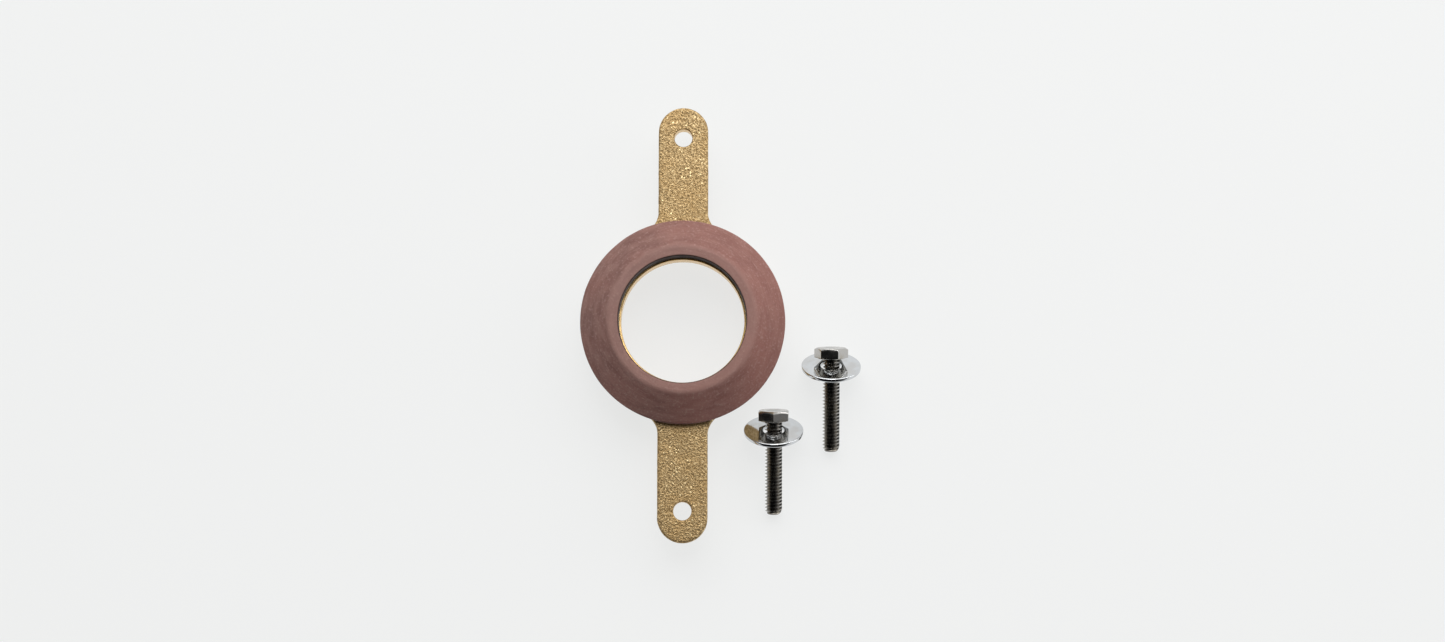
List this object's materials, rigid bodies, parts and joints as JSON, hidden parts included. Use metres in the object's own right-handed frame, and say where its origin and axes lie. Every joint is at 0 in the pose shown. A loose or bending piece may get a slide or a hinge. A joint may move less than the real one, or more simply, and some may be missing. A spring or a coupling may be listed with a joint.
{
  "type": "toilet flange",
  "caption": "Brass flange with a female pipe socket, a long bolt ear on each side, a conical rubber sealing gasket, and loose hex bolts with wide washers.",
  "frame": {"origin": "centre of the pipe socket's mouth, on the casting's back face", "axes": "+Z along the waterway, from the pipe socket towards the gasket; +Y along the bolt ears; the loose bolts lie on the +X side"},
  "size_m": [0.1046, 0.1632, 0.0282],
  "materials": {
    "cast_brass": "sand-cast, tumbled, machined in the waterway and the socket",
    "gasket_rubber": "matt moulded rubber with a dusty bloom",
    "bolt_steel": "bright plated steel, darker in the thread",
    "washer_chrome": "mirror-bright plated steel"
  },
  "bodies": {
    "casting": {"flange_casting": "cast_brass"},
    "gasket": {"gasket": "gasket_rubber"},
    "left_bolt": {"bolt_left": "bolt_steel"},
    "left_washer": {"washer_left": "washer_chrome"},
    "right_bolt": {"bolt_right": "bolt_steel"},
    "right_washer": {"washer_right": "washer_chrome"}
  },
  "joints": [
    {"name": "gasket_pull_off", "type": "slide", "parent": "casting", "child": "gasket", "axis": [0, 0, 1], "range_m": [0, 0.025]},
    {"name": "left_bolt_lift", "type": "slide", "parent": "casting", "child": "left_bolt", "axis": [0, 0, 1], "range_m": [0, 0.05]},
    {"name": "left_washer_slide", "type": "slide", "parent": "left_bolt", "child": "left_washer", "axis": [0, -0.978, -0.2088], "range_m": [0, 0.034]},
    {"name": "right_bolt_lift", "type": "slide", "parent": "casting", "child": "right_bolt", "axis": [0, 0, 1], "range_m": [0, 0.05]},
    {"name": "right_washer_slide", "type": "slide", "parent": "right_bolt", "child": "right_washer", "axis": [0, -0.9789, -0.2045], "range_m": [0, 0.034]}
  ]
}
